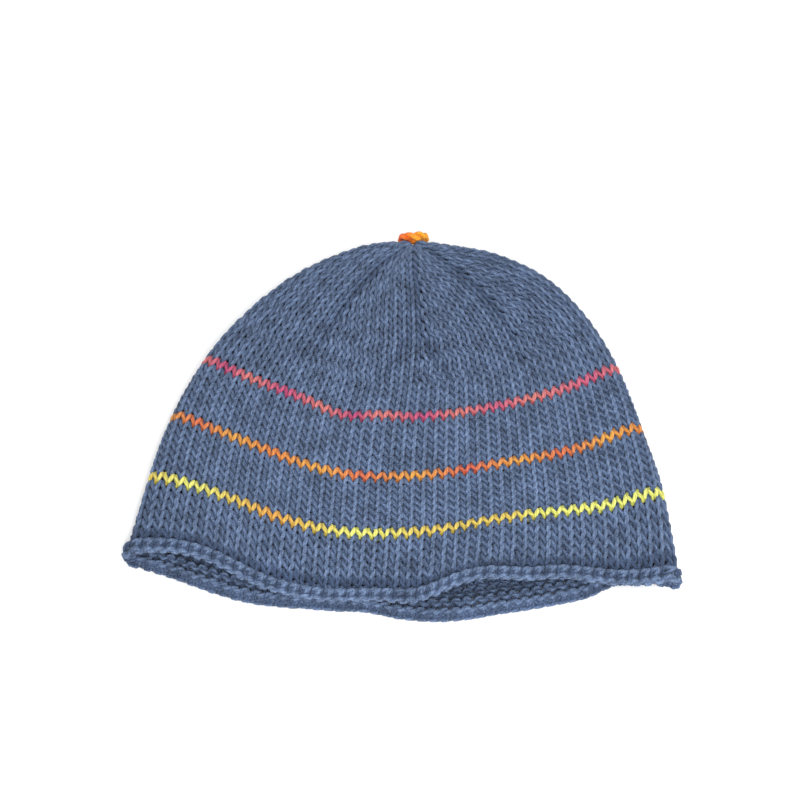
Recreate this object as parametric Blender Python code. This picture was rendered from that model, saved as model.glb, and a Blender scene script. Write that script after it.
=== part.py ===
"""A hand-knitted cap with a rolled brim, lying on its back layer.

The cap is a stack of knitted rounds. Each round is a closed loop: its lower
half lies on the surface, its upper half arches over the hollow for the head.
+X is to the right, +Y runs from the brim to the tip of the crown, +Z is up.
The origin is under the middle of the cap. Lengths are in metres.
"""

import math

import bmesh
import bpy
import numpy as np

# Fabric
WALL = 0.0030  # thickness of the knitted fabric
GAP = 0.0003  # clearance between neighbouring pieces
ROW_HEIGHT = 0.0039  # height of one knitted round
ROUNDS = 48  # rounds from the bend of the brim to the tip of the crown

# Rounds at which the pieces meet
BRIM_TOP = 2.0
YELLOW_ROW = 8.0
ORANGE_ROW = 16.0
PINK_ROW = 24.0
STRIPE_HALF = 0.5

# The brim curls outwards and back over itself
ROLL_RADIUS = 0.0019  # of the fabric's middle line round the bend
ROLL_STEPS = 4
RETURN_LENGTH = 0.0034  # how far the curled edge runs back, from the bend
ROLL_NORMAL_ROW = 0.6  # the round whose outward direction the whole curl follows

# Fold at the two sides of the lying cap
FOLD_REACH = 0.30  # share of the half round in which the back layer meets the surface
FOLD_SHARE = 0.45  # share of the upper layer's rise that lies in the fold
FOLD_SOFTNESS = 0.15

# Knot on the tip of the crown
KNOT_SIZE = (0.0140, 0.0052, 0.0086)
KNOT_SHARE = 0.68  # the part of the round knot that stands over its seat

# The middle of the cap's bounding box, in the plan of the tables below
PLAN_MIDDLE = (0.0006, 0.0)

# Mesh
SHARP_EDGE = 50  # degrees
LOOP_POINTS = 64
BAND_STEPS = 3
CROWN_ROWS = (28, 31, 34, 37, 40, 42.5, 44.5, 46, 47, 47.6)
CROWN_INNER_END = 46.0

# One line for each section, from the bend of the brim to the tip. The columns are
# the round; the left and right folds in plan; the middle of the upper and of the
# back layer along Y; the height of the fabric's middle at the crest, at the folds
# and in the back layer; and how square the round looks in plan, where 2 is a
# parabola and 1 is half an ellipse.
COLUMNS = (
    "row", "left_x", "left_y", "right_x", "right_y",
    "top_y", "back_y", "crest", "edge", "bed", "bow",
)
SECTIONS = (
    (0, -0.1166, -0.0755, 0.1176, -0.0877, -0.0990, -0.0990, 0.0125, 0.0080, 0.0055, 2.00),
    (1.2, -0.1160, -0.0697, 0.1176, -0.0813, -0.0941, -0.0941, 0.0128, 0.0078, 0.0053, 2.00),
    (3.5, -0.1150, -0.0583, 0.1175, -0.0680, -0.0842, -0.0847, 0.0135, 0.0070, 0.0015, 2.00),
    (8, -0.1109, -0.0357, 0.1155, -0.0433, -0.0657, -0.0675, 0.0150, 0.0060, 0.0015, 2.00),
    (16, -0.1024, -0.0052, 0.1084, -0.0113, -0.0398, -0.0400, 0.0190, 0.0060, 0.0015, 2.00),
    (24, -0.0890, 0.0260, 0.0988, 0.0218, -0.0107, -0.0110, 0.0210, 0.0060, 0.0015, 1.90),
    (30, -0.0712, 0.0518, 0.0845, 0.0518, 0.0129, 0.0130, 0.0205, 0.0060, 0.0015, 1.60),
    (36, -0.0488, 0.0742, 0.0633, 0.0760, 0.0380, 0.0380, 0.0185, 0.0060, 0.0015, 1.35),
    (42, -0.0228, 0.0896, 0.0362, 0.0899, 0.0655, 0.0650, 0.0145, 0.0060, 0.0015, 1.15),
    (45, -0.0086, 0.0945, 0.0213, 0.0932, 0.0790, 0.0785, 0.0115, 0.0060, 0.0018, 1.00),
    (47, 0.0014, 0.0956, 0.0113, 0.0949, 0.0894, 0.0889, 0.0084, 0.0060, 0.0034, 1.00),
    (48, 0.0061, 0.0959, 0.0065, 0.0959, 0.0957, 0.0957, 0.0061, 0.0060, 0.0059, 1.00),
)

# Waves of the fabric: the middle and half width across the cap, from -1 at the
# left fold to 1 at the right one, the lift and the set-back along +Y at the rim,
# the round at which the wave has died away, and how early it fades.
WAVE_COLUMNS = ("across", "half_width", "lift", "set_back", "end_row", "fading")
FRONT_WAVES = (
    (-0.82, 0.36, 0.0060, 0.0086, 16, 2.0),
    (-0.28, 0.38, -0.0038, 0.0038, 10, 2.0),
    (-0.10, 0.26, 0.0006, 0.0016, 10, 2.0),
    (0.26, 0.25, 0.0048, 0.0070, 12, 2.0),
    (0.57, 0.40, 0.0064, 0.0095, 16, 2.0),
    (-0.30, 0.40, 0, -0.0030, 48, 0.5),
    (0.26, 0.30, 0, 0.0010, 40, 0.5),
    (0.74, 0.34, 0, -0.0022, 40, 0.5),
)
BACK_WAVES = (
    (-0.60, 0.35, 0, -0.0036, 16, 2.0),
    (-0.14, 0.14, 0, 0.0012, 12, 2.0),
    (0.12, 0.25, 0, -0.0018, 12, 2.0),
    (0.46, 0.22, 0, 0.0018, 12, 2.0),
    (0.80, 0.40, 0, 0.0066, 16, 2.0),
    (0.86, 0.20, 0, 0.0085, 16, 2.0),
    (0.95, 0.13, 0, 0.0045, 10, 2.0),
)

# Places on the upper layer where hand tension moves the rounds off an even spacing:
# the round in the middle of the stretch and its reach up and down, the place across
# and its reach, and how many rounds the fabric is eased towards the tip.
SLACK_SPOTS = (
    (12, 14, 0.42, 0.40, 0.62),
    (24, 8, 0.93, 0.45, -0.50),
    (24, 8, -0.93, 0.45, -0.50),
    (24, 6, -0.34, 0.16, -0.40),
    (24, 6, -0.12, 0.14, 0.30),
)

# Yarn colours, as 8-bit sRGB values
BLUE_GREY = (92, 108, 136)
YELLOW = (226, 214, 92)
ORANGE = (228, 138, 66)
PINK = (196, 84, 104)
KNOT_ORANGE = (236, 140, 52)
YARN_ROUGHNESS = 0.9


def smooth_between(rows, values, at):
    """A smooth curve through a table's column that never overshoots it."""
    rise = np.diff(values) / np.diff(rows)
    slope = np.zeros(len(values))
    slope[0], slope[-1] = rise[0], rise[-1]
    same = rise[:-1] * rise[1:] > 0
    slope[1:-1][same] = (2 * rise[:-1] * rise[1:])[same] / (rise[:-1] + rise[1:])[same]
    i = np.clip(np.searchsorted(rows, at, side="right") - 1, 0, len(rows) - 2)
    step = rows[i + 1] - rows[i]
    t = np.clip((at - rows[i]) / step, 0, 1)
    start = values[i] * (1 + 2 * t) * (1 - t) ** 2 + values[i + 1] * t**2 * (3 - 2 * t)
    return start + step * (slope[i] * t * (1 - t) ** 2 - slope[i + 1] * t**2 * (1 - t))


def section_at(row):
    """Every column of the table at a round, whole or not."""
    table = np.array(SECTIONS, float)
    return {
        name: smooth_between(table[:, 0], table[:, i], row)
        for i, name in enumerate(COLUMNS)
    }


def soft_edge(share):
    """Runs from 0 at a fold to 1 at the middle, with no kink at the fold."""
    full = math.sqrt(1 + FOLD_SOFTNESS**2) - FOLD_SOFTNESS
    return (np.sqrt(share**2 + FOLD_SOFTNESS**2) - FOLD_SOFTNESS) / full


def waves_at(table, across, share, row):
    """Lift and set-back of the rim's waves."""
    lift, set_back = np.zeros_like(across), np.zeros_like(across)
    for values in table:
        wave = dict(zip(WAVE_COLUMNS, values))
        away = np.clip(np.abs(across - wave["across"]) / wave["half_width"], 0, 1)
        fade = np.clip(1 - row / wave["end_row"], 0, 1) ** wave["fading"]
        size = np.cos(away * math.pi / 2) ** 2 * fade * share
        lift = lift + size * wave["lift"]
        set_back = set_back + size * wave["set_back"]
    return lift, set_back


def fabric_middle(row, angle):
    """A point of the fabric's middle surface. Angle 0 is the right fold, a quarter
    turn is the middle of the upper layer, half a turn is the left fold."""
    row, angle = np.broadcast_arrays(np.asarray(row, float), np.asarray(angle, float))
    at = section_at(row)
    across, share = np.cos(angle), np.abs(np.sin(angle))
    side = (across + 1) / 2
    x = at["left_x"] + (at["right_x"] - at["left_x"]) * side
    side_y = at["left_y"] + (at["right_y"] - at["left_y"]) * side
    middle_y = (at["left_y"] + at["right_y"]) / 2
    droop = soft_edge(share) ** at["bow"]

    front_lift, front_back = waves_at(FRONT_WAVES, across, share, row)
    top_y = side_y + (at["top_y"] - middle_y) * droop + front_back
    turned = 1 - (1 - np.clip(share / FOLD_REACH, 0, 1)) ** 2
    rise = FOLD_SHARE * turned + (1 - FOLD_SHARE) * share
    top_z = at["edge"] + (at["crest"] - at["edge"]) * rise + front_lift

    _, back_back = waves_at(BACK_WAVES, across, share, row)
    back_y = side_y + (at["back_y"] - middle_y) * droop + back_back
    back_z = at["edge"] + (at["bed"] - at["edge"]) * turned

    upper = np.sin(angle) >= 0
    y, z = np.where(upper, top_y, back_y), np.where(upper, top_z, back_z)
    return np.stack([x - PLAN_MIDDLE[0], y - PLAN_MIDDLE[1], z], -1)


def fabric_outward(row, angle):
    """The unit normal of the fabric's middle surface, out of the hollow."""
    small_row, small_angle = 0.05, 0.01
    near = np.clip(row, 2 * small_row, ROUNDS - 4 * small_row)
    along = fabric_middle(near + small_row, angle) - fabric_middle(near - small_row, angle)
    around = fabric_middle(near, angle + small_angle) - fabric_middle(near, angle - small_angle)
    normal = np.cross(along, around)
    return normal / np.linalg.norm(normal, axis=-1, keepdims=True)


def loop_angles():
    return np.linspace(0, 2 * math.pi, LOOP_POINTS, endpoint=False)


def slack_at(row, angle):
    """How many rounds the fabric is eased towards the tip at a round and an angle."""
    moved = np.zeros(np.shape(angle))
    for middle, reach, place, place_reach, rounds in SLACK_SPOTS:
        up = np.clip(np.abs(row - middle) / reach, 0, 1)
        aside = np.clip(np.abs(np.cos(angle) - place) / place_reach, 0, 1)
        moved = moved + rounds * (np.cos(up * math.pi / 2) * np.cos(aside * math.pi / 2)) ** 2
    return moved * (1 + np.tanh(3 * np.sin(angle) + 1)) / 2


def fabric_loop(row, height):
    """One closed loop of points round the cap, at a height over the middle surface."""
    angle = loop_angles()
    eased = row + slack_at(row, angle)
    return fabric_middle(eased, angle) + fabric_outward(eased, angle) * height


def lofted(name, loops, ring):
    """A closed mesh through equal loops: a ring joins the last loop to the first,
    and otherwise both ends are drawn together to a point."""
    mesh = bpy.data.meshes.new(name)
    bm = bmesh.new()
    rounds = [[bm.verts.new(point) for point in loop] for loop in loops]
    pairs = list(zip(rounds, rounds[1:]))
    if ring:
        pairs.append((rounds[-1], rounds[0]))
    for low, high in pairs:
        for i in range(LOOP_POINTS):
            j = (i + 1) % LOOP_POINTS
            bm.faces.new((low[i], low[j], high[j], high[i]))
    if not ring:
        for end in (rounds[0][::-1], rounds[-1]):
            tip = bm.verts.new(np.mean([vert.co for vert in end], axis=0))
            for i in range(LOOP_POINTS):
                bm.faces.new((end[i], end[(i + 1) % LOOP_POINTS], tip))
    if bm.calc_volume(signed=True) < 0:
        bmesh.ops.reverse_faces(bm, faces=bm.faces)
    bm.to_mesh(mesh)
    bm.free()
    mesh.shade_smooth()
    mesh.set_sharp_from_angle(angle=math.radians(SHARP_EDGE))
    return bpy.data.objects.new(name, mesh)


def band(name, low_row, high_row, steps):
    """A ring of fabric between two rounds."""
    clear = GAP / 2 / ROW_HEIGHT
    rows = np.linspace(low_row + clear, high_row - clear, steps + 1)
    outer = [fabric_loop(row, WALL / 2) for row in rows]
    inner = [fabric_loop(row, -WALL / 2) for row in rows[::-1]]
    return lofted(name, outer + inner, ring=True)


def roll_profile():
    """The curl's middle line, as (distance from the bend, height), with its normal."""
    points = []
    for step in range(ROLL_STEPS + 1):
        turn = math.pi * step / ROLL_STEPS
        normal = (-math.sin(turn), -math.cos(turn))
        middle = ROLL_RADIUS * (1 + normal[0]), ROLL_RADIUS * (1 + normal[1])
        points.append((middle, normal))
    points.append(((RETURN_LENGTH, 2 * ROLL_RADIUS), (0.0, 1.0)))
    return points


def rolled_brim(name):
    """The hem, with its edge curled outwards: a hook swept round the rim."""
    angle = loop_angles()
    rim = fabric_middle(0, angle)
    off_rim = rim - fabric_middle(1, angle)
    row_height = np.linalg.norm(off_rim, axis=1)
    off_rim /= row_height[:, None]
    outward = fabric_outward(ROLL_NORMAL_ROW, angle)

    def loop(distance, height):
        on_wall = fabric_middle(max(distance, 0) / row_height, angle)
        return on_wall + off_rim * max(-distance, 0) + outward * height

    convex, concave = [
        [loop(d + nd * side, h + nh * side) for (d, h), (nd, nh) in roll_profile()]
        for side in (WALL / 2, -WALL / 2)
    ]
    top_row = BRIM_TOP - GAP / 2 / ROW_HEIGHT
    hollow_side = fabric_loop(top_row, -WALL / 2)
    outer_side = fabric_loop(top_row, WALL / 2)
    return lofted(name, [hollow_side, *convex, *concave[::-1], outer_side], ring=True)


def crown(name):
    """The closed top of the cap, drawn together at its tip."""
    clear = GAP / 2 / ROW_HEIGHT
    start = PINK_ROW + STRIPE_HALF + clear
    inner_rows = [start, *[row for row in CROWN_ROWS if row <= CROWN_INNER_END]]
    inner = [fabric_loop(row, -WALL / 2) for row in inner_rows[::-1]]
    outer = [fabric_loop(row, WALL / 2) for row in (start, *CROWN_ROWS)]
    return lofted(name, inner + outer, ring=False)


def top_knot(name):
    """The small knot of yarn: a dome seated on the ridge of the crown's tip."""
    tip = fabric_middle(ROUNDS, 0.0)
    ridge = fabric_loop(CROWN_ROWS[-1], WALL / 2)[:, 1].max()
    seat = (tip[0], ridge + GAP, tip[2])
    width, height, depth = KNOT_SIZE
    mesh = bpy.data.meshes.new(name)
    bm = bmesh.new()
    bmesh.ops.create_uvsphere(bm, u_segments=20, v_segments=14, radius=0.5)
    bmesh.ops.scale(bm, vec=(width, height / KNOT_SHARE, depth), verts=bm.verts)
    middle = height - height / KNOT_SHARE / 2
    bmesh.ops.translate(bm, vec=(seat[0], seat[1] + middle, seat[2]), verts=bm.verts)
    bmesh.ops.bisect_plane(
        bm,
        geom=[*bm.verts, *bm.edges, *bm.faces],
        plane_co=seat,
        plane_no=(0, 1, 0),
        clear_inner=True,
    )
    bmesh.ops.holes_fill(bm, edges=bm.edges, sides=0)
    bm.to_mesh(mesh)
    bm.free()
    mesh.shade_smooth()
    mesh.set_sharp_from_angle(angle=math.radians(SHARP_EDGE))
    return bpy.data.objects.new(name, mesh)


def yarn(name, colour):
    """A plain woollen material in one colour."""
    material = bpy.data.materials.new(name)
    material.use_nodes = True
    shader = material.node_tree.nodes["Principled BSDF"]
    linear = [((c / 255 + 0.055) / 1.055) ** 2.4 if c > 10 else c / 255 / 12.92 for c in colour]
    shader.inputs["Base Color"].default_value = (*linear, 1)
    shader.inputs["Roughness"].default_value = YARN_ROUGHNESS
    shader.inputs["Metallic"].default_value = 0
    return material


def stripe(name, row):
    """One round of coloured knitting."""
    return band(name, row - STRIPE_HALF, row + STRIPE_HALF, 1)


def main():
    for old in list(bpy.data.objects):
        bpy.data.objects.remove(old, do_unlink=True)
    cap = bpy.data.collections.new("chemo_cap")
    bpy.context.scene.collection.children.link(cap)

    blue = yarn("blue_grey_yarn", BLUE_GREY)
    pieces = (
        (rolled_brim("rolled_brim"), blue),
        (band("lower_band", BRIM_TOP, YELLOW_ROW - STRIPE_HALF, BAND_STEPS), blue),
        (stripe("yellow_stripe", YELLOW_ROW), yarn("yellow_yarn", YELLOW)),
        (
            band("middle_band", YELLOW_ROW + STRIPE_HALF, ORANGE_ROW - STRIPE_HALF, BAND_STEPS),
            blue,
        ),
        (stripe("orange_stripe", ORANGE_ROW), yarn("orange_yarn", ORANGE)),
        (
            band("upper_band", ORANGE_ROW + STRIPE_HALF, PINK_ROW - STRIPE_HALF, BAND_STEPS),
            blue,
        ),
        (stripe("pink_stripe", PINK_ROW), yarn("pink_yarn", PINK)),
        (crown("crown"), blue),
        (top_knot("top_knot"), yarn("knot_yarn", KNOT_ORANGE)),
    )
    for piece, material in pieces:
        piece.data.materials.append(material)
        cap.objects.link(piece)


main()
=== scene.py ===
# %% [markdown]
# # A hand-knitted cap, stitch by stitch
# The cap lies flat on its back layer, with its opening towards the viewer. The imported model gives
# its walls as smooth solids. Here each wall is knitted again from yarn: one strand of tube for
# each round, looped 96 times round the cap. The frame comes first, because all of the yarn has
# to lie where those walls are. Its box is kept.

# %% Load the frame
import math

import bmesh
import bpy
import numpy as np
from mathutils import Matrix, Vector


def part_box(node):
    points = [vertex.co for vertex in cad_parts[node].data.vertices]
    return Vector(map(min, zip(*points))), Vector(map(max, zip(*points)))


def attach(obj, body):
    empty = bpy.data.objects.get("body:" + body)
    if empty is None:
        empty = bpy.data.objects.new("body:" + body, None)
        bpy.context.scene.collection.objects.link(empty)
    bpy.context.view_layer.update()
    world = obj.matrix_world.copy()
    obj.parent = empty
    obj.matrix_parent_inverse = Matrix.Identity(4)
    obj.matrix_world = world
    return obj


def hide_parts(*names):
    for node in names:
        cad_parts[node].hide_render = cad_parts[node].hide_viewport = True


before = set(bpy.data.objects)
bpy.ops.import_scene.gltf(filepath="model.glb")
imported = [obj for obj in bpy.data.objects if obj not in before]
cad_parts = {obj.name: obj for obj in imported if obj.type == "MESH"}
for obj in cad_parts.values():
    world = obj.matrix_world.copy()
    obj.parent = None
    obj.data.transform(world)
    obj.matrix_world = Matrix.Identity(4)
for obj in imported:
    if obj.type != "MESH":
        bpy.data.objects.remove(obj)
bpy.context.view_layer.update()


# %% [markdown]
# ## The camera and the light
# The photograph looks down at the cap at 58 degrees through a long lens, from a little under a
# metre away. The camera goes first, because every later choice is judged through it. The light is
# a studio's: a pale sheet below, a bright even room, a soft lamp near the camera's own line, which
# keeps the gaps between the stitches open, and two weaker ones for the crown and the mouth.

# %% Camera
CAMERA_ELEVATION = math.radians(58)
CAMERA_DISTANCE = 0.9
CAMERA_TARGET = (-0.0006, 0.0050, 0.010)
LENS_MM, SENSOR_MM = 89.1, 36.0

camera_data = bpy.data.cameras.new("studio_camera")
camera_data.lens, camera_data.sensor_width = LENS_MM, SENSOR_MM
camera = bpy.data.objects.new("studio_camera", camera_data)
camera.location = (
    CAMERA_TARGET[0],
    CAMERA_TARGET[1] - CAMERA_DISTANCE * math.cos(CAMERA_ELEVATION),
    CAMERA_TARGET[2] + CAMERA_DISTANCE * math.sin(CAMERA_ELEVATION),
)
camera.rotation_euler = (math.pi / 2 - CAMERA_ELEVATION, 0, 0)
scene = bpy.context.scene
scene.collection.objects.link(camera)
scene.camera = camera
print("camera at:", [round(v, 3) for v in camera.location])

# %% Light
ROOM_BRIGHTNESS = 0.77
# name, place, size in metres, watts
LAMPS = (
    ("key_lamp", (0.05, -0.40, 0.54), 0.24, 3.5),
    ("fill_lamp", (0.2, 0.5, 1.0), 0.8, 3.4),
    ("front_lamp", (0.35, -0.95, 0.34), 0.6, 3.0),
)

scene.view_settings.view_transform = "Standard"
world = bpy.data.worlds.new("bright_room")
world.use_nodes = True
world.node_tree.nodes["Background"].inputs["Color"].default_value = (1, 1, 1, 1)
world.node_tree.nodes["Background"].inputs["Strength"].default_value = ROOM_BRIGHTNESS
scene.world = world

for lamp_name, place, size, watts in LAMPS:
    lamp = bpy.data.objects.new(lamp_name, bpy.data.lights.new(lamp_name, "AREA"))
    lamp.data.size, lamp.data.energy = size, watts
    lamp.location = place
    towards = CAMERA_TARGET - np.array(place)
    lamp.rotation_euler = (
        math.atan2(math.hypot(towards[0], towards[1]), -towards[2]),
        0,
        math.atan2(-towards[0], towards[1]),
    )
    scene.collection.objects.link(lamp)
    print(f"{lamp_name}: {np.linalg.norm(towards):.2f} m from the cap")

# %% [markdown]
# The lowest loops of the back layer reach a little under the plane that the smooth walls rest on,
# so the floor lies that much lower, and no yarn pokes through it.

# %% Floor
FLOOR_SIZE, FLOOR_DROP = 6.0, 0.0006
FLOOR_TINT, FLOOR_ROUGHNESS = (0.96, 0.96, 0.96, 1), 0.9

floor_mesh = bpy.data.meshes.new("pale_floor")
bm = bmesh.new()
bmesh.ops.create_grid(bm, x_segments=1, y_segments=1, size=FLOOR_SIZE / 2)
bmesh.ops.translate(bm, vec=(0, 0, -FLOOR_DROP), verts=bm.verts)
bm.to_mesh(floor_mesh)
bm.free()
floor = bpy.data.objects.new("pale_floor", floor_mesh)
scene.collection.objects.link(floor)
floor_material = bpy.data.materials.new("pale_floor")
floor_material.use_nodes = True
floor_shader = floor_material.node_tree.nodes["Principled BSDF"]
floor_shader.inputs["Base Color"].default_value = FLOOR_TINT
floor_shader.inputs["Roughness"].default_value = FLOOR_ROUGHNESS
floor_mesh.materials.append(floor_material)
print("floor:", FLOOR_SIZE, "m wide")

# %% [markdown]
# ## Where the fabric lies
# The cap is one tube of fabric. A point on it has a round, counted from the rim to the tip, and an
# angle: 0 is the right fold, a quarter turn is the middle of the upper layer, half a turn is the
# left fold. The table says how the lying cap runs in each section, and the waves are the ripples
# of its rim. These are the sizes that the cap's walls were made with, so the yarn fits them.

# %% Tables of the lying cap
ROUNDS = 48
COLUMNS = (
    "row", "left_x", "left_y", "right_x", "right_y",
    "top_y", "back_y", "crest", "edge", "bed", "bow",
)
SECTIONS = (
    (0, -0.1166, -0.0755, 0.1176, -0.0877, -0.0990, -0.0990, 0.0125, 0.0080, 0.0055, 2.00),
    (1.2, -0.1160, -0.0697, 0.1176, -0.0813, -0.0941, -0.0941, 0.0128, 0.0078, 0.0053, 2.00),
    (3.5, -0.1150, -0.0583, 0.1175, -0.0680, -0.0842, -0.0847, 0.0135, 0.0070, 0.0015, 2.00),
    (8, -0.1109, -0.0357, 0.1155, -0.0433, -0.0657, -0.0675, 0.0150, 0.0060, 0.0015, 2.00),
    (16, -0.1024, -0.0052, 0.1084, -0.0113, -0.0398, -0.0400, 0.0190, 0.0060, 0.0015, 2.00),
    (24, -0.0890, 0.0260, 0.0988, 0.0218, -0.0107, -0.0110, 0.0210, 0.0060, 0.0015, 1.90),
    (30, -0.0712, 0.0518, 0.0845, 0.0518, 0.0129, 0.0130, 0.0205, 0.0060, 0.0015, 1.60),
    (36, -0.0488, 0.0742, 0.0633, 0.0760, 0.0380, 0.0380, 0.0185, 0.0060, 0.0015, 1.35),
    (42, -0.0228, 0.0896, 0.0362, 0.0899, 0.0655, 0.0650, 0.0145, 0.0060, 0.0015, 1.15),
    (45, -0.0086, 0.0945, 0.0213, 0.0932, 0.0790, 0.0785, 0.0115, 0.0060, 0.0018, 1.00),
    (47, 0.0014, 0.0956, 0.0113, 0.0949, 0.0894, 0.0889, 0.0084, 0.0060, 0.0034, 1.00),
    (48, 0.0061, 0.0959, 0.0065, 0.0959, 0.0957, 0.0957, 0.0061, 0.0060, 0.0059, 1.00),
)
WAVE_COLUMNS = ("across", "half_width", "lift", "set_back", "end_row", "fading")
FRONT_WAVES = (
    (-0.82, 0.36, 0.0060, 0.0086, 16, 2.0),
    (-0.28, 0.38, -0.0038, 0.0038, 10, 2.0),
    (-0.10, 0.26, 0.0006, 0.0016, 10, 2.0),
    (0.26, 0.25, 0.0048, 0.0070, 12, 2.0),
    (0.57, 0.40, 0.0064, 0.0095, 16, 2.0),
    (-0.30, 0.40, 0, -0.0030, 48, 0.5),
    (0.26, 0.30, 0, 0.0010, 40, 0.5),
    (0.74, 0.34, 0, -0.0022, 40, 0.5),
)
BACK_WAVES = (
    (-0.60, 0.35, 0, -0.0036, 16, 2.0),
    (-0.14, 0.14, 0, 0.0012, 12, 2.0),
    (0.12, 0.25, 0, -0.0018, 12, 2.0),
    (0.46, 0.22, 0, 0.0018, 12, 2.0),
    (0.80, 0.40, 0, 0.0066, 16, 2.0),
    (0.86, 0.20, 0, 0.0085, 16, 2.0),
    (0.95, 0.13, 0, 0.0045, 10, 2.0),
)
print(len(SECTIONS), "sections and", len(FRONT_WAVES + BACK_WAVES), "waves")

# %% [markdown]
# Between two sections every column follows a smooth curve that never overshoots. A wave swells
# and dies away across the cap like a cosine, and it fades out towards the tip.

# %% Read the tables
def smooth_between(rows, values, at):
    """A smooth curve through a table's column that never overshoots it."""
    rise = np.diff(values) / np.diff(rows)
    slope = np.zeros(len(values))
    slope[0], slope[-1] = rise[0], rise[-1]
    same = rise[:-1] * rise[1:] > 0
    slope[1:-1][same] = (2 * rise[:-1] * rise[1:])[same] / (rise[:-1] + rise[1:])[same]
    i = np.clip(np.searchsorted(rows, at, side="right") - 1, 0, len(rows) - 2)
    step = rows[i + 1] - rows[i]
    t = np.clip((at - rows[i]) / step, 0, 1)
    start = values[i] * (1 + 2 * t) * (1 - t) ** 2 + values[i + 1] * t**2 * (3 - 2 * t)
    return start + step * (slope[i] * t * (1 - t) ** 2 - slope[i + 1] * t**2 * (1 - t))


def section_at(row):
    """Every column of the table at a round, whole or not."""
    table = np.array(SECTIONS, float)
    return {
        name: smooth_between(table[:, 0], table[:, i], row)
        for i, name in enumerate(COLUMNS)
    }


def waves_at(table, across, share, row):
    """Lift and set-back of the rim's waves."""
    lift, set_back = np.zeros_like(across), np.zeros_like(across)
    for values in table:
        wave = dict(zip(WAVE_COLUMNS, values))
        away = np.clip(np.abs(across - wave["across"]) / wave["half_width"], 0, 1)
        fade = np.clip(1 - row / wave["end_row"], 0, 1) ** wave["fading"]
        size = np.cos(away * math.pi / 2) ** 2 * fade * share
        lift = lift + size * wave["lift"]
        set_back = set_back + size * wave["set_back"]
    return lift, set_back


print("crest at round 12 in mm:", round(1000 * float(section_at(12)["crest"]), 1))

# %% [markdown]
# The next functions turn a round and an angle into a point of the fabric's middle surface, and
# into the direction that points out of the cap there. Each layer is an arch from fold to fold,
# which starts steeply at the fold and flattens. The direction comes from two short steps on the
# surface, one towards the tip and one round the cap.

# %% Points and directions on the fabric
# how wide a fold's turn is, its share of the cap's height, and its softness seen from above
FOLD_REACH, FOLD_SHARE, FOLD_SOFTNESS = 0.30, 0.45, 0.15
PLAN_MIDDLE = (0.0006, 0.0)  # the middle of the cap, in the table's own places
STEP_UP, STEP_ROUND = 0.05, 0.01  # in rounds and in radians


def soft_edge(share):
    """Runs from 0 at a fold to 1 at the middle, with no kink at the fold."""
    full = math.sqrt(1 + FOLD_SOFTNESS**2) - FOLD_SOFTNESS
    return (np.sqrt(share**2 + FOLD_SOFTNESS**2) - FOLD_SOFTNESS) / full


def fabric_middle(row, angle):
    """A point of the fabric's middle surface at a round and an angle."""
    row, angle = np.broadcast_arrays(np.asarray(row, float), np.asarray(angle, float))
    at = section_at(row)
    across, share = np.cos(angle), np.abs(np.sin(angle))
    side = (across + 1) / 2
    x = at["left_x"] + (at["right_x"] - at["left_x"]) * side
    side_y = at["left_y"] + (at["right_y"] - at["left_y"]) * side
    middle_y = (at["left_y"] + at["right_y"]) / 2
    droop = soft_edge(share) ** at["bow"]

    top_lift, top_shift = waves_at(FRONT_WAVES, across, share, row)
    top_y = side_y + (at["top_y"] - middle_y) * droop + top_shift
    turned = 1 - (1 - np.clip(share / FOLD_REACH, 0, 1)) ** 2
    rise = FOLD_SHARE * turned + (1 - FOLD_SHARE) * share
    top_z = at["edge"] + (at["crest"] - at["edge"]) * rise + top_lift

    _, back_shift = waves_at(BACK_WAVES, across, share, row)
    back_y = side_y + (at["back_y"] - middle_y) * droop + back_shift
    back_z = at["edge"] + (at["bed"] - at["edge"]) * turned

    upper = np.sin(angle) >= 0
    y, z = np.where(upper, top_y, back_y), np.where(upper, top_z, back_z)
    return np.stack([x - PLAN_MIDDLE[0], y - PLAN_MIDDLE[1], z], -1)


def fabric_outward(row, angle):
    """The unit normal of the fabric's middle surface, out of the cap."""
    near = np.clip(row, 2 * STEP_UP, ROUNDS - 4 * STEP_UP)
    along = fabric_middle(near + STEP_UP, angle) - fabric_middle(near - STEP_UP, angle)
    around = fabric_middle(near, angle + STEP_ROUND) - fabric_middle(near, angle - STEP_ROUND)
    normal = np.cross(along, around)
    return normal / np.linalg.norm(normal, axis=-1, keepdims=True)


print("tip of the fabric in mm:", np.round(1000 * fabric_middle(ROUNDS, math.pi / 2), 1))

# %% [markdown]
# Stitches are equally wide, but equal steps of the angle are not, so an even share of the way round
# has to be looked up. Half of the stitches lie on the upper layer and half on the back one, so the
# two layers are measured apart.

# %% Even shares of a round
SHARE_STEPS = 96
LOOKUP_STEPS = 240
LAST_MEASURED = ROUNDS - 0.5  # nearer to the tip a round has hardly any length


def angle_table():
    """Angles at even shares of the way round, for each whole round."""
    table = []
    for row in range(ROUNDS + 1):
        halves = []
        for start in (0.0, math.pi):
            angle = np.linspace(start, start + math.pi, LOOKUP_STEPS)
            steps = np.diff(fabric_middle(min(row, LAST_MEASURED), angle), axis=0)
            length = np.concatenate([[0], np.cumsum(np.linalg.norm(steps, axis=1))])
            even = np.linspace(0, length[-1], SHARE_STEPS // 2 + 1)
            halves.append(np.interp(even, length, angle))
        table.append(np.concatenate([halves[0], halves[1][1:]]))
    return np.array(table)


ANGLES = angle_table()


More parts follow.
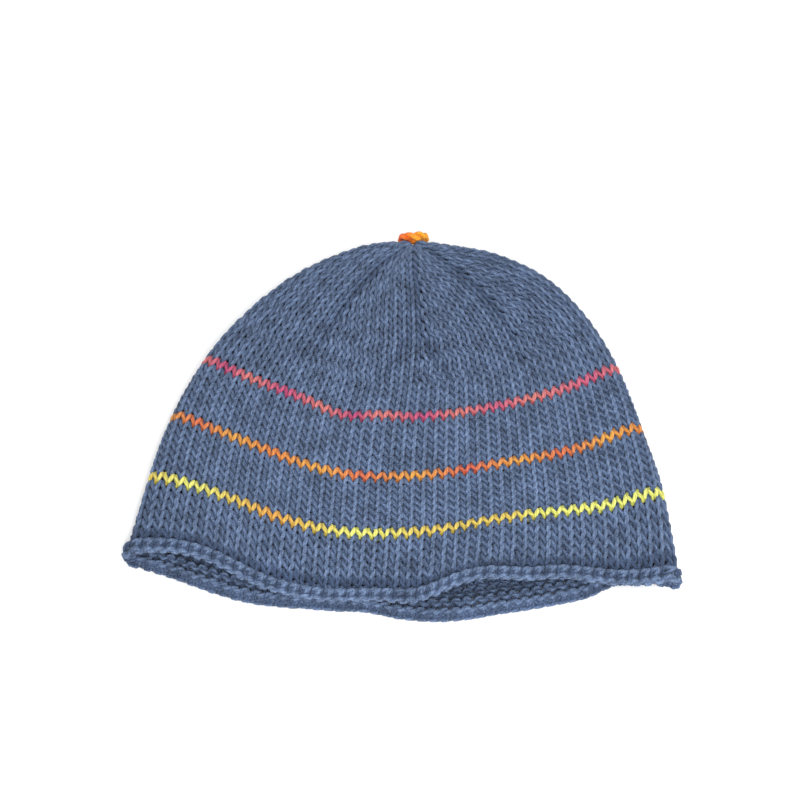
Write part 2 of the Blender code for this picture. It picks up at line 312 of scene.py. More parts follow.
def angle_at(row, share):
    """The angle at a share of the way round, from the table, for any round."""
    turns = np.floor(share)
    place = (share - turns) * SHARE_STEPS
    column = np.minimum(place.astype(int), SHARE_STEPS - 1)
    row = np.clip(row, 0, ROUNDS)
    line = np.minimum(row.astype(int), ROUNDS - 1)
    across, up = place - column, row - line
    low = ANGLES[line, column] * (1 - across) + ANGLES[line, column + 1] * across
    high = ANGLES[line + 1, column] * (1 - across) + ANGLES[line + 1, column + 1] * across
    return low * (1 - up) + high * up + 2 * math.pi * turns


rim_steps = np.diff(fabric_middle(0, ANGLES[0]), axis=0)
print("way round the rim in mm:", round(1000 * np.linalg.norm(rim_steps, axis=1).sum()))

# %% [markdown]
# Below the rim the fabric curls outwards and back over itself, which turns its purl side to the
# viewer. The curl is half a turn with a straight run before and after it, and a strand's height
# over the fabric turns along with it. The side folds pinch the curl, and the fabric flares out
# into it there.

# %% The curl of the hem
ROLL_RADIUS = 0.0019
CURL_ROW, CURL_BLEND = 0.6, 0.8  # all is curl up to this round, and lies flat so many further on
LAST_FLAT = ROUNDS - 0.3  # strands nearer to the tip are laid on this round
FOLD_WIDTH = 0.022  # of a fold's corner, as a share of the way round
FOLD_SQUEEZE = 0.25  # how much tighter the curl is there
FOLD_FLARE, FLARE_ROUNDS = 0.0016, 5  # how far the sides flare out into the curl


def near_fold(share):
    """1 on a side fold of the lying cap, dying away to 0 along the round."""
    aside = np.abs((share + 0.25) % 0.5 - 0.25)
    return np.exp(-((aside / FOLD_WIDTH) ** 2))


def on_curl(row, share, angle, lift):
    """Points on the curl of the hem, which starts at round 0 and runs on below it."""
    rim = fabric_middle(0, angle)
    off_rim = rim - fabric_middle(1, angle)
    row_height = np.linalg.norm(off_rim, axis=1)
    off_rim /= row_height[:, None]
    outward = fabric_outward(CURL_ROW, angle)
    roll = ROLL_RADIUS * (1 - FOLD_SQUEEZE * near_fold(share))
    past_bend = roll - row * row_height
    turn = np.clip(past_bend / roll, 0, math.pi)
    straight = past_bend - turn * roll
    distance = roll * (1 - np.sin(turn)) + lift * np.sin(turn)
    distance += np.where(turn < math.pi / 2, -straight, straight)
    height = roll * (1 - np.cos(turn)) + lift * np.cos(turn)
    curled = fabric_middle(np.maximum(distance, 0) / row_height, angle)
    return curled + off_rim * np.maximum(-distance, 0)[:, None] + outward * height[:, None]


def on_fabric(row, share, lift):
    """Points on the cap: a round below 0 runs on round the curl of the hem."""
    angle = angle_at(row, share)
    flare = FOLD_FLARE * near_fold(share) * np.clip(1 - (row - 1) / FLARE_ROUNDS, 0, 1) ** 2
    lift = lift + np.where(row > CURL_ROW, flare, 0)
    above = np.clip(row, CURL_ROW, LAST_FLAT)
    flat = fabric_middle(above, angle) + fabric_outward(above, angle) * lift[:, None]
    blend = np.clip((row - CURL_ROW) / CURL_BLEND, 0, 1)[:, None]
    return on_curl(row, share, angle, lift) * (1 - blend) + flat * blend


print("curl in mm across:", 2000 * ROLL_RADIUS)

# %% [markdown]
# Hand tension moves the rounds off an even spacing, which shows where the stripes bend. Each spot
# here eases the rounds near it towards the tip, or away from it where its number is negative. The
# easing belongs to the upper layer and fades out on the back one.

# %% Slack and tight places
# round in the middle and its reach, place across and its reach, rounds eased to the tip
SLACK_SPOTS = (
    (12, 14, 0.42, 0.40, 0.62),
    (24, 8, 0.93, 0.45, -0.50),
    (24, 8, -0.93, 0.45, -0.50),
    (24, 6, -0.34, 0.16, -0.40),
    (24, 6, -0.12, 0.14, 0.30),
)
EASE_FADE, EASE_REACH = 3, 1  # how fast the easing fades at the folds, and how far round them


def slack_at(row, angle):
    """How many rounds the fabric is eased towards the tip at a round and an angle."""
    moved = np.zeros(np.shape(angle))
    for middle, reach, place, place_reach, rounds in SLACK_SPOTS:
        up = np.clip(np.abs(row - middle) / reach, 0, 1)
        aside = np.clip(np.abs(np.cos(angle) - place) / place_reach, 0, 1)
        moved = moved + rounds * (np.cos(up * math.pi / 2) * np.cos(aside * math.pi / 2)) ** 2
    return moved * (1 + np.tanh(EASE_FADE * np.sin(angle) + EASE_REACH)) / 2


print("slack and tight places:", len(SLACK_SPOTS))

# %% [markdown]
# ## One round of stitches
# In stockinette a strand rises into a loop, dips back, and rises into the next. Its legs lie in
# front and lean together at their feet, which makes the rows of small Vs, and its heads and feet
# lie behind and make the bumps of the purl side. In the crown, eight stitches of a round are
# knitted together with their neighbours, so the strand takes its feet from the round below and
# its heads from its own round.

# %% Stitch counts
STITCHES, WEDGES = 96, 8
DECREASE_ROUNDS = (29, 32, 35, 37, 39, 41, 42, 44, 45, 46, 47)


def stitches_in(number):
    """The stitches of a round, after all decreases up to it."""
    return STITCHES - WEDGES * sum(number >= at for at in DECREASE_ROUNDS)


def feet_of_decrease(place, count):
    """Shares of the way round for the feet: each wedge's last stitch stands on two."""
    each = count // WEDGES
    wedge, inside = np.divmod(place, each)
    pulled = np.maximum(inside - (each - 1), 0)
    return (wedge + (inside + pulled) / (each + 1)) / WEDGES


print("stitches:", sum(stitches_in(number) for number in range(-1, ROUNDS)))

# %% [markdown]
# Where two wedges of the crown meet, the gathered fabric sinks into a narrow crease, and less
# light reaches the yarn there, which is painted into its colour as shade. In the middle of the
# upper layer two slanting creases run into the straight one.

# %% Creases of the crown
# from a round and a share of the way round, to another pair
CREASES = (
    (29, 0.125, 47, 0.125), (36, 0.250, 47, 0.250), (29, 0.375, 47, 0.375),
    (26, 0.303, 37, 0.250), (26, 0.197, 37, 0.250),
    (29, 0.625, 47, 0.625), (29, 0.750, 47, 0.750), (29, 0.875, 47, 0.875),
)
CREASE_WIDTH = 0.5  # in stitches
CREASE_START, CREASE_END, CREASE_LEAST = 8, 2, 0.1  # rounds of fading at its ends, least share
# how deep a crease sinks, and how strong the painted shade in it is
CREASE_SINK, CREASE_SHADE = 0.00035, 0.20


def crease_at(row, share, count):
    """1 in the bottom of a crease of the crown, 0 away from it."""
    crease = np.zeros_like(share)
    for low_row, low_share, high_row, high_share in CREASES:
        along = np.clip((row - low_row) / (high_row - low_row), 0, 1)
        aside = (share - low_share - (high_share - low_share) * along) * count / CREASE_WIDTH
        from_ends = np.minimum((row - low_row) / CREASE_START, (high_row - row) / CREASE_END)
        inside = np.clip(from_ends + CREASE_LEAST, 0, 1)
        crease = np.maximum(crease, inside * np.exp(-(aside**2)))
    return crease


print("creases:", len(CREASES))

# %% [markdown]
# A loop differs with its place. The hem's loops are slack and plump, a stripe's are short, and in
# the crown they grow narrow and upright, until the yarn is pressed into a plug at the tip.

# %% The loops of a round
LOOP_HALF = 0.78  # half of a loop's height, in rounds
HEAD_REACH = 0.16  # how much further its head and feet reach behind the next loops
LEG_SWING = 0.27  # how far the legs swing sideways, in stitches
HEAD_LEAN = 0.105  # how far each head leans to the left, in stitches
LEG_TILT = 0.00028  # how far the right legs stand above the left ones
HEM_ROUNDS = 2  # rounds below this one belong to the hem
HEM_LOOP_HALF, HEM_SWING, HEM_PLUMP = 0.66, 0.20, 1.12
STRIPE_ROUNDS, STRIPE_LOOP_HALF = (8, 16, 24), 0.69
CROWN_START, CROWN_FULL = 24, 32  # rounds over which the loops grow narrow and upright
CROWN_SWING, CROWN_LEAN, CROWN_THICKNESS = 0.22, 0.06, 0.92
TIP_START, TIP_ROUNDS, TIP_PLUMP = 43, 4, 1.3


def loop_shape(number):
    """A round's loops: half height, reach, swing, lean, tilt of the legs, plumpness."""
    if number < HEM_ROUNDS:
        return HEM_LOOP_HALF, 0, HEM_SWING, HEAD_LEAN, 0, HEM_PLUMP
    half, reach = (STRIPE_LOOP_HALF, 0) if number in STRIPE_ROUNDS else (LOOP_HALF, HEAD_REACH)
    crown = min(max((number - CROWN_START) / (CROWN_FULL - CROWN_START), 0), 1)
    swing = LEG_SWING + (CROWN_SWING - LEG_SWING) * crown
    lean = HEAD_LEAN + (CROWN_LEAN - HEAD_LEAN) * crown
    plump = 1 + (CROWN_THICKNESS - 1) * crown
    plump += (TIP_PLUMP - 1) * max(number - TIP_START, 0) / TIP_ROUNDS
    return half, reach, swing, lean, LEG_TILT, plump


print("plumpness of the yarn at the tip:", round(loop_shape(ROUNDS - 1)[-1], 2))

# %% [markdown]
# Three cosines draw a loop's path well: one up and down, one from front to back at twice the pace,
# and one that swings the legs. Every loop gets its own small share of unevenness, as hand knitting
# does. The dice that give it have a fixed start, so the cap comes out the same each time.

# %% The path of a strand
POINTS = 11  # of the strand, for each stitch
DEPTH = 0.00070  # how far the strand swings to the front and to the back
YARN_RADIUS = 0.00103
LAST_HEAD = ROUNDS - 0.25  # the round that no head passes
HEM_END = -1.42  # the round at which the curl's cast-on edge ends
HEM_SHADOW_ROUND, HEM_SHADOW_WIDTH, HEM_SHADOW_STRENGTH = 1.9, 0.5, 0.75  # painted shadow of the curl's edge on the band: its round, width and strength
OUTWARD_STEP = 0.001  # a short step off the fabric, to find the way out of the cap
# how much the hand varies the swing, the place, the height and the thickness of a loop
SWING_PLAY, PLACE_PLAY, HEIGHT_PLAY, THICKNESS_PLAY = 0.10, 0.035, 0.035, 0.05

dice = np.random.default_rng(96)


def strand_on_fabric(row, share, lift):
    """Points of a strand, and the unit directions out of the cap there."""
    points = on_fabric(row, share, lift)
    outward = on_fabric(row, share, lift + OUTWARD_STEP) - points
    outward /= np.linalg.norm(outward, axis=1, keepdims=True)
    return points, outward


def round_path(number):
    """Points of one round's strand, its thickness, its height over the fabric's
    middle, the direction out of the cap, and how much light reaches it, for painted shade."""
    count = stitches_in(number)
    half, reach, swing, lean, tilt, plump = loop_shape(number)
    place = np.arange(count * POINTS) / POINTS
    phase = 2 * math.pi * (place - 0.5)
    at_head = (1 + np.cos(phase)) / 2
    wobble = dice.normal(0, 1, (4, count))[:, place.astype(int)]

    own = feet = place / count
    if stitches_in(number - 1) != count:
        feet = feet_of_decrease(place, count)
    swing = swing * (1 + SWING_PLAY * wobble[0])
    share = feet + (own - feet) * at_head
    share += (swing * np.sin(2 * phase) + PLACE_PLAY * wobble[1] * at_head) / count
    share += lean * np.cos(phase) / count

    row = number + half * np.cos(phase) + reach * np.cos(phase) ** 5
    row += HEIGHT_PLAY * wobble[2] * at_head
    row = np.clip(row, HEM_END, LAST_HEAD)
    row = row + slack_at(row, angle_at(row, share))

    crease = crease_at(row, share, count)
    lift = -DEPTH * np.cos(2 * phase) - tilt * np.sin(phase) - CREASE_SINK * crease
    # painted shade: darker yarn in the creases of the crown
    light = 1 - CREASE_SHADE * crease
    # painted shadow: darker yarn just above the curl, where its edge shades the band
    light *= 1 - HEM_SHADOW_STRENGTH * np.exp(-(((row - HEM_SHADOW_ROUND) / HEM_SHADOW_WIDTH) ** 2))
    thickness = plump * (1 + THICKNESS_PLAY * wobble[3] * at_head)
    points, outward = strand_on_fabric(row, share, lift)
    return points, thickness, lift, outward, light


print("stitch in mm at the rim:", round(1000 * np.linalg.norm(rim_steps, axis=1).mean(), 1))

# %% [markdown]
# The edge of the hem is cast on before the first round is knitted. It shows as a coil with one turn
# to a stitch. The curl's inner turn can't be seen, so one plump strand stands for it and fills the
# middle of the curl.

# %% The strands that bind the hem
CAST_ON_ROW, CAST_ON_HALF, CAST_ON_DEPTH = -1.22, 0.26, 0.0007
CORE_ROW, CORE_LIFT, CORE_THICKNESS = -0.1, 0.0017, 1.45


def cast_on_path():
    """The strand that binds the edge of the hem: a coil with one turn to a stitch."""
    place = np.arange(STITCHES * POINTS) / POINTS
    turn = 2 * math.pi * place
    row = CAST_ON_ROW + CAST_ON_HALF * np.cos(turn)
    lift = CAST_ON_DEPTH * np.sin(turn)
    points, outward = strand_on_fabric(row, place / STITCHES, lift)
    even = np.ones(len(place))
    return points, even, lift, outward, even


def core_path():
    """A plump strand in the middle of the curl, which fills it as its inner turn does."""
    place = np.arange(STITCHES * POINTS) / POINTS
    even = np.ones(len(place))
    points, outward = strand_on_fabric(CORE_ROW * even, place / STITCHES, CORE_LIFT * even)
    return points, CORE_THICKNESS * even, 0 * even, outward, even


print("cast-on edge of", STITCHES, "turns")

# %% [markdown]
# ## From strands to meshes
# A strand is a curve with a round bevel, the usual way to make a tube in Blender, and all the
# rounds of one piece are splines of one curve. It is turned into a mesh so that it can carry maps.

# %% Curves into meshes
SIDES = 6


def strand_mesh(name, paths, radius):
    """A joined mesh of closed tubes along the paths."""
    curve = bpy.data.curves.new(name, "CURVE")
    curve.dimensions = "3D"
    curve.bevel_depth, curve.bevel_resolution = radius, SIDES // 2 - 2
    for points, thickness, *_ in paths:
        spline = curve.splines.new("POLY")
        spline.points.add(len(points) - 1)
        spline.points.foreach_set("co", np.column_stack([points, np.ones(len(points))]).ravel())
        spline.points.foreach_set("radius", thickness)
        spline.use_cyclic_u = True
    draft = bpy.data.objects.new(name, curve)
    scene.collection.objects.link(draft)
    graph = bpy.context.evaluated_depsgraph_get()
    mesh = bpy.data.meshes.new_from_object(draft.evaluated_get(graph))
    bpy.data.objects.remove(draft)
    bpy.data.curves.remove(curve)
    mesh.name = name
    mesh.shade_smooth()
    return mesh


print("sides of a strand:", SIDES)

# %% [markdown]
# A strand carries two maps. The first runs along the yarn, one unit to a stitch, and once round
# it, for the twist of its plies. The second lays the tubes out side by side without overlap, for
# textures to be baked on. An attribute says how open each point lies, because little light reaches
# the yarn that runs deep between the loops, and the material paints shade there from it. On the
# fabric's face it is lowered in the creases of the crown and over the curl, to paint shade there
# too.

# %% Maps of a strand
def unwrapped(value, count):
    """For each face, the values of its corners, with none across the seam."""
    value = value.astype(float)
    spread = value.max(axis=1, keepdims=True) - value
    return value + np.where(spread > count / 2, count, 0)


def map_strands(mesh, paths):
    """Adds the yarn map and the bake map to a mesh of strands."""
    corners = np.empty(len(mesh.loops), np.int32)
    mesh.loops.foreach_get("vertex_index", corners)
    ring, side = np.divmod(corners.reshape(-1, 4), SIDES)
    along = np.zeros(ring.shape)
    first = 0
    for points, *_ in paths:
        mine = (ring[:, 0] >= first) & (ring[:, 0] < first + len(points))
        along[mine] = unwrapped(ring[mine] - first, len(points))
        first += len(points)
    around = unwrapped(side, SIDES)

    yarn_map = mesh.uv_layers.new(name="yarn_map")
    values = np.stack([along / POINTS, around / SIDES], -1)
    yarn_map.uv.foreach_set("vector", values.ravel())

    quad = np.arange(len(ring)) // SIDES
    per_line = int(math.sqrt(first * (SIDES + 1)))
    line, column = np.divmod(quad, per_line)
    lines = math.ceil(first / per_line)
    wide = column[:, None] + along - along.min(axis=1, keepdims=True)
    high = line[:, None] * (SIDES + 1) + around
    layout = np.stack([wide / per_line, high / (lines * (SIDES + 1))], -1)
    mesh.uv_layers.new(name="OFBake").uv.foreach_set("vector", layout.ravel())
    mesh.uv_layers["yarn_map"].active_render = True
    mesh.uv_layers.active = mesh.uv_layers["yarn_map"]


def mark_depth(mesh, paths, full):
    """Stores how open each point of the yarn lies: 0 in the fabric's middle, 1 on its face.
    The material paints shade from it, and on the face it is lowered by the path's light.
    """
    corners = np.empty(len(mesh.vertices) * 3, np.float32)
    mesh.vertices.foreach_get("co", corners)
    corners = corners.reshape(-1, SIDES, 3)
    centre, _, lift, outward, light = [np.concatenate(parts) for parts in zip(*paths)]
    over = lift[:, None] + np.einsum("rsk,rk->rs", corners - centre[:, None], outward)
    depth = mesh.attributes.new("openness", "FLOAT", "POINT")
    # painted shade: on the fabric's face the openness is lowered where the path paints shade
    open_face = np.clip(np.abs(over) / full, 0, 1) * np.where(over > 0, light[:, None], 1)
    depth.data.foreach_set("value", open_face.ravel())


def add_piece(mesh, material, node):
    """Puts a finished mesh in the scene, in the place of its wall."""
    mesh.materials.clear()
    mesh.materials.append(material)
    piece = bpy.data.objects.new(mesh.name, mesh)
    scene.collection.objects.link(piece)
    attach(piece, "root")
    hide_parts(node)
    print(f"{mesh.name}: {2 * len(mesh.polygons)} triangles")

# %% [markdown]
# ## The look of the yarn
# The yarn is a matt wool blend of three plies. Close up it has a fine slanting groove between the
# plies, a fuzz of short fibres, and a slightly uneven dye. One node group makes all three, and
# each yarn places it with its own colour. The group also paints shade into the colour: in the
# grooves between the plies, and where the yarn lies deep between the loops. The pattern reads the
# yarn map, so it follows every loop.
# These first functions make sockets, sums and noise, so that the group itself reads as a recipe.

# %% Helpers for nodes
def new_socket(tree, name, kind, direction, value=None):
    """One named input or output of a node group."""
    socket = tree.interface.new_socket(name=name, in_out=direction, socket_type=kind)
    if value is not None:
        socket.default_value = value


def add_math(tree, operation, *values):
    """A maths node, each of whose values is a number or another node's output."""
    node = tree.nodes.new("ShaderNodeMath")
    node.operation = operation
    for socket, value in zip(node.inputs, values):
        if isinstance(value, (int, float)):
            socket.default_value = value
        else:
            tree.links.new(value, socket)
    return node.outputs[0]


def add_noise(tree, vector, scale):
    """Noise with a given count of cells to a metre."""
    node = tree.nodes.new("ShaderNodeTexNoise")
    node.inputs["Scale"].default_value = scale
    node.inputs["Detail"].default_value = 2
    tree.links.new(vector, node.inputs["Vector"])
    return node.outputs["Fac"]


def yarn_axes(tree):
    """The yarn map's two directions: X along the strand, Y round it."""
    yarn_map = tree.nodes.new("ShaderNodeUVMap")
    yarn_map.uv_map = "yarn_map"
    split = tree.nodes.new("ShaderNodeSeparateXYZ")
    tree.links.new(yarn_map.outputs["UV"], split.inputs[0])
    return split.outputs

# %% Node group for spun yarn
PLIES, TWISTS_PER_STITCH = 3, 1.5
FIBRE_CELLS, PATCH_CELLS = 1700, 130  # of the noise, to a metre
FIBRE_RELIEF = 0.5  # of the fibres, where the plies' relief is 1
# how round the plies look, how much lighter they are than their grooves, and those grooves' shade
PLY_ROUNDNESS, PLY_SHADE, GROOVE_SHADE = 0.6, 0.42, 0.70
BLOTCH, SPECKLE = 1.1, 2.0  # uneven dye in patches and in single fibres
HOLLOW_FROM, HOLLOW_TO = 0.10, 0.98  # openness at which yarn is darkest, and fully lit
HOLLOW_DEPTH = 1.0  # how much deeper and darker the painted shade makes the dye between the loops
LEAST_ROUGH, FIBRE_ROUGH = 0.80, 0.16


def spun_yarn_group():
    """The look that all yarns share, with inputs for what differs."""
    tree = bpy.data.node_groups.new("spun_yarn", "ShaderNodeTree")
    new_socket(tree, "Dye", "NodeSocketColor", "INPUT", (0.5, 0.5, 0.5, 1))
    new_socket(tree, "Unevenness", "NodeSocketFloat", "INPUT", 0.3)
    new_socket(tree, "Hollow Shade", "NodeSocketFloat", "INPUT", 0.3)
    new_socket(tree, "Colour", "NodeSocketColor", "OUTPUT")
    new_socket(tree, "Roughness", "NodeSocketFloat", "OUTPUT")
    new_socket(tree, "Height", "NodeSocketFloat", "OUTPUT")
    given = tree.nodes.new("NodeGroupInput").outputs
    made = tree.nodes.new("NodeGroupOutput").inputs

    # plies that wind round the strand, with grooves between them, in relief and as painted shade
    axes = yarn_axes(tree)
    twist = add_math(tree, "MULTIPLY", axes["X"], PLIES * TWISTS_PER_STITCH)
    turn = add_math(tree, "MULTIPLY_ADD", axes["Y"], PLIES, twist)
    wave = add_math(tree, "SINE", add_math(tree, "MULTIPLY", turn, math.pi))
    ply = add_math(tree, "ABSOLUTE", wave)
    rounded = add_math(tree, "POWER", ply, PLY_ROUNDNESS)
    groove = add_math(tree, "MULTIPLY_ADD", rounded, PLY_SHADE, GROOVE_SHADE)

    # short fibres and an uneven dye
    place = tree.nodes.new("ShaderNodeTexCoord").outputs["Object"]
    fibres = add_noise(tree, place, FIBRE_CELLS)
    patches = add_noise(tree, place, PATCH_CELLS)
    blotch = add_math(tree, "MULTIPLY", add_math(tree, "SUBTRACT", patches, 0.5), BLOTCH)
    speckle = add_math(tree, "MULTIPLY", add_math(tree, "SUBTRACT", fibres, 0.5), SPECKLE)
    both = add_math(tree, "ADD", blotch, speckle)
    uneven = add_math(tree, "MULTIPLY", both, given["Unevenness"])
    shade = add_math(tree, "MULTIPLY", groove, add_math(tree, "ADD", uneven, 1.0))

    # painted shade: a darker and deeper tone between the loops, where little light reaches
    openness = tree.nodes.new("ShaderNodeAttribute")
    openness.attribute_name = "openness"
    lit = tree.nodes.new("ShaderNodeMapRange")
    lit.interpolation_type = "SMOOTHSTEP"
    lit.inputs["From Min"].default_value = HOLLOW_FROM
    lit.inputs["From Max"].default_value = HOLLOW_TO
    lit.inputs["To Max"].default_value = 1.0
    tree.links.new(openness.outputs["Fac"], lit.inputs["Value"])
    tree.links.new(given["Hollow Shade"], lit.inputs["To Min"])
    shade = add_math(tree, "MULTIPLY", shade, lit.outputs[0])
    power = add_math(tree, "MULTIPLY_ADD", lit.outputs[0], -HOLLOW_DEPTH, 1 + HOLLOW_DEPTH)
    deeper = tree.nodes.new("ShaderNodeGamma")
    tree.links.new(given["Dye"], deeper.inputs["Color"])
    tree.links.new(power, deeper.inputs["Gamma"])
    shaded_dye = tree.nodes.new("ShaderNodeVectorMath")
    shaded_dye.operation = "SCALE"
    tree.links.new(deeper.outputs["Color"], shaded_dye.inputs[0])
    tree.links.new(shade, shaded_dye.inputs["Scale"])

    rough = add_math(tree, "MULTIPLY_ADD", fibres, FIBRE_ROUGH, LEAST_ROUGH)
    height = add_math(tree, "MULTIPLY_ADD", fibres, FIBRE_RELIEF, ply)
    tree.links.new(shaded_dye.outputs[0], made["Colour"])
    tree.links.new(rough, made["Roughness"])
    tree.links.new(height, made["Height"])
    return tree


SPUN_YARN = spun_yarn_group()
print("nodes in the spun yarn:", len(SPUN_YARN.nodes))

# %% [markdown]
# The blue-grey yarn has one dye. The stripes are knitted from a variegated yarn whose colour drifts
# along its length, so their dye comes from a ramp that runs once round the cap, from the right
# fold over the upper layer to the left fold and back underneath.

# %% Yarn materials
PLY_RELIEF = 0.00022
GLOSS = 0.12
FUZZ, FUZZ_ROUGHNESS, FUZZ_TINT = 0.12, 0.6, (0.70, 0.80, 1.0, 1.0)
# painted shade: the share of the yarn's colour left where it lies deepest between the loops
HOLLOW_SHADE = 0.72


def drifting_dye(tree, stops, stitches):
    """The colour of a variegated yarn, from stops of (share of the way round, colour)."""
    share = add_math(tree, "DIVIDE", yarn_axes(tree)["X"], stitches)
    ramp = tree.nodes.new("ShaderNodeValToRGB")
    tree.links.new(share, ramp.inputs["Fac"])
    marks = ramp.color_ramp.elements
    for i, (at, colour) in enumerate(stops):
        mark = marks[i] if i < 2 else marks.new(at)
        mark.position, mark.color = at, colour
    return ramp.outputs["Color"]


def yarn_material(name, unevenness, dye, stitches=None):
    """dye is one colour, or the stops of a drifting dye where stitches are given."""
    material = bpy.data.materials.new(name)
    material.use_nodes = True
    tree = material.node_tree
    shader = tree.nodes["Principled BSDF"]
    shader.inputs["Specular IOR Level"].default_value = GLOSS
    shader.inputs["Sheen Weight"].default_value = FUZZ
    shader.inputs["Sheen Roughness"].default_value = FUZZ_ROUGHNESS
    shader.inputs["Sheen Tint"].default_value = FUZZ_TINT
    group = tree.nodes.new("ShaderNodeGroup")
    group.node_tree = SPUN_YARN
    group.inputs["Unevenness"].default_value = unevenness
    group.inputs["Hollow Shade"].default_value = HOLLOW_SHADE
    if stitches is None:
        group.inputs["Dye"].default_value = dye
    else:
        tree.links.new(drifting_dye(tree, dye, stitches), group.inputs["Dye"])
    tree.links.new(group.outputs["Colour"], shader.inputs["Base Color"])
    tree.links.new(group.outputs["Roughness"], shader.inputs["Roughness"])
    bump = tree.nodes.new("ShaderNodeBump")
    bump.inputs["Distance"].default_value = PLY_RELIEF
    tree.links.new(group.outputs["Height"], bump.inputs["Height"])
    tree.links.new(bump.outputs["Normal"], shader.inputs["Normal"])
    return material

# %% [markdown]
# The dyes are named as a dyer would name them. In each stripe they change every few stitches on
# the upper layer, and more slowly on the back one, which the photograph doesn't show.

# %% Dyes
def linear(red, green, blue):
    """An 8-bit sRGB colour as the shader's linear one."""
    tones = (red / 255, green / 255, blue / 255)
    return tuple(((t + 0.055) / 1.055) ** 2.4 if t > 0.04045 else t / 12.92 for t in tones) + (1,)


BLUE_GREY = linear(86, 102, 129)
LEMON, GOLD, AMBER = linear(204, 205, 110), linear(196, 174, 86), linear(197, 144, 68)
TANGERINE, FLAME, RED = linear(195, 119, 62), linear(190, 102, 70), linear(186, 89, 72)
CORAL, ROSE, RASPBERRY = linear(187, 112, 106), linear(176, 84, 112), linear(168, 68, 108)
KNOT_GOLD, KNOT_ORANGE, KNOT_RED = linear(238, 158, 44), linear(236, 128, 40), linear(222, 98, 44)

PINK_DRIFT = (
    (0.00, CORAL), (0.05, ROSE), (0.12, CORAL), (0.16, ROSE), (0.20, CORAL), (0.235, RASPBERRY),
    (0.28, CORAL), (0.305, RASPBERRY), (0.34, CORAL), (0.385, RASPBERRY), (0.425, CORAL),
    (0.455, RASPBERRY), (0.49, CORAL), (0.70, ROSE), (1.00, CORAL),
)
ORANGE_DRIFT = (
    (0.00, TANGERINE), (0.05, AMBER), (0.10, FLAME), (0.14, AMBER), (0.19, RED), (0.24, AMBER),
    (0.29, FLAME), (0.33, AMBER), (0.38, TANGERINE), (0.42, AMBER), (0.46, FLAME), (0.50, AMBER),
    (0.65, FLAME), (0.80, AMBER), (1.00, TANGERINE),
)
YELLOW_DRIFT = (
    (0.00, LEMON), (0.12, LEMON), (0.15, GOLD), (0.23, GOLD), (0.29, LEMON), (0.33, GOLD),
    (0.37, AMBER), (0.41, GOLD), (0.45, LEMON), (0.50, GOLD), (0.65, AMBER), (0.85, GOLD),
    (1.00, LEMON),
)
DRIFTS = {"yellow_yarn": YELLOW_DRIFT, "orange_yarn": ORANGE_DRIFT, "pink_yarn": PINK_DRIFT}
print("drifting dyes:", ", ".join(DRIFTS))

# %% [markdown]
# ## Knit the cap
# The rounds are grouped as the cap's walls are: the curled hem, a band of blue-grey between two
# stripes, each stripe, and the crown. Each group is one joined mesh that stands for its wall.

# %% Knit the bands and stripes
BLUE_UNEVENNESS, STRIPE_UNEVENNESS = 1.25, 0.25
# name, node that it replaces, its material slot, first round, last round
GROUPS = (
    ("rolled_brim_knitting", "rolled_brim", "blue_grey_yarn", -1, 1),
    ("lower_band_knitting", "lower_band", "blue_grey_yarn", 2, 7),
    ("yellow_stripe_knitting", "yellow_stripe", "yellow_yarn", 8, 8),
    ("middle_band_knitting", "middle_band", "blue_grey_yarn", 9, 15),
    ("orange_stripe_knitting", "orange_stripe", "orange_yarn", 16, 16),
    ("upper_band_knitting", "upper_band", "blue_grey_yarn", 17, 23),
    ("pink_stripe_knitting", "pink_stripe", "pink_yarn", 24, 24),
    ("crown_knitting", "crown", "blue_grey_yarn", 25, 47),
)
blue_yarn = yarn_material("blue_grey_yarn_look", BLUE_UNEVENNESS, BLUE_GREY)

for name, node, slot, first, last in GROUPS:
    paths = [round_path(number) for number in range(first, last + 1)]
    if node == "rolled_brim":
        paths += [cast_on_path(), core_path()]
    mesh = strand_mesh(name, paths, YARN_RADIUS)
    map_strands(mesh, paths)
    mark_depth(mesh, paths, YARN_RADIUS + DEPTH)
    look = blue_yarn
    if slot in DRIFTS:
        look = yarn_material(slot + "_look", STRIPE_UNEVENNESS, DRIFTS[slot], stitches_in(first))
    add_piece(mesh, look, node)

# %% [markdown]
# ## The knot
# The tail of the yarn is twisted into two short loops that lie side by side across the tip. They
# show as a plump bar of orange yarn with a crease in it, redder on its left. Each loop runs out
# along a twist and back along it, and the twist swells and thins along the bar.

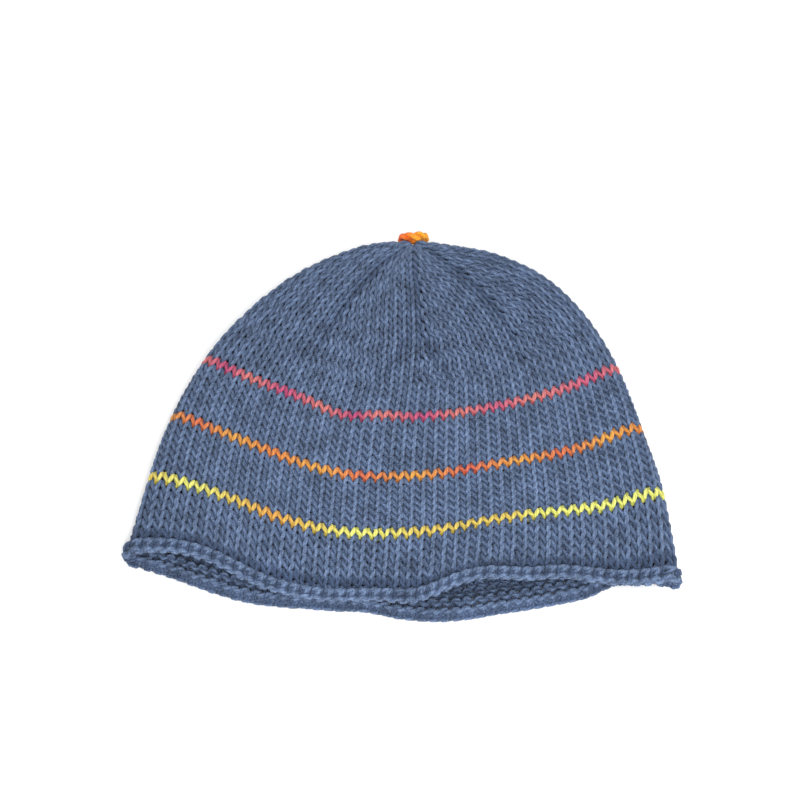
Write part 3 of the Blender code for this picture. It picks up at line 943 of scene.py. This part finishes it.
# %% Knot of yarn
KNOT_RADIUS = 0.00138
KNOT_POINTS = 64
KNOT_HALF = 0.0063  # half of the bar's length, to the middle of the strand
KNOT_OFF = 0.0018  # how far the bar's middle stands off the tip
KNOT_SLANT = 0.0003  # how much further its right end does
KNOT_TWISTS = 1.25
KNOT_TWIST_RADIUS = 0.0011
KNOT_SWELL, SWELL_PACE, SWELL_START = 0.22, 3.2, 0.4  # how the twist's radius changes along it
KNOT_UNEVENNESS = 0.2
# how far the loop lies back from the middle, its share of a turn ahead, its size
KNOT_LOOPS = ((-0.0014, 0.0, 1.0), (0.0014, 0.35, 0.92))
KNOT_DRIFT = (
    (0.0, KNOT_GOLD), (0.2, KNOT_GOLD), (0.3, KNOT_ORANGE), (0.5, KNOT_RED),
    (0.7, KNOT_ORANGE), (0.8, KNOT_GOLD), (1.0, KNOT_GOLD),
)
knot_low, knot_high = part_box("top_knot")
seat = np.array([(knot_low[0] + knot_high[0]) / 2, knot_low[1], (knot_low[2] + knot_high[2]) / 2])

knot_paths = []
for back, ahead, size in KNOT_LOOPS:
    run = np.linspace(0, 2 * math.pi, KNOT_POINTS, endpoint=False)
    along = np.cos(run)
    swell = 1 + KNOT_SWELL * np.sin(SWELL_PACE * along - SWELL_START)
    plump = KNOT_TWIST_RADIUS * size * swell * np.sin(run)
    twist = 2 * math.pi * (ahead + KNOT_TWISTS * along / 2)
    points = np.stack(
        [
            seat[0] + KNOT_HALF * size * along,
            seat[1] + KNOT_OFF + KNOT_SLANT * along + plump * np.cos(twist),
            seat[2] + back + plump * np.sin(twist),
        ],
        -1,
    )
    outward = points - (seat + (0, KNOT_OFF, 0))
    outward /= np.linalg.norm(outward, axis=1, keepdims=True)
    even = np.ones(KNOT_POINTS)
    knot_paths.append((points, even, 0 * even, outward, even))
knot_mesh = strand_mesh("top_knot_yarn", knot_paths, KNOT_RADIUS)
map_strands(knot_mesh, knot_paths)
# painted shade along the strands' flanks, from how open each point lies
mark_depth(knot_mesh, knot_paths, KNOT_RADIUS / 2)
knot_look = yarn_material("knot_yarn_look", KNOT_UNEVENNESS, KNOT_DRIFT, KNOT_POINTS / POINTS)
add_piece(knot_mesh, knot_look, "top_knot")
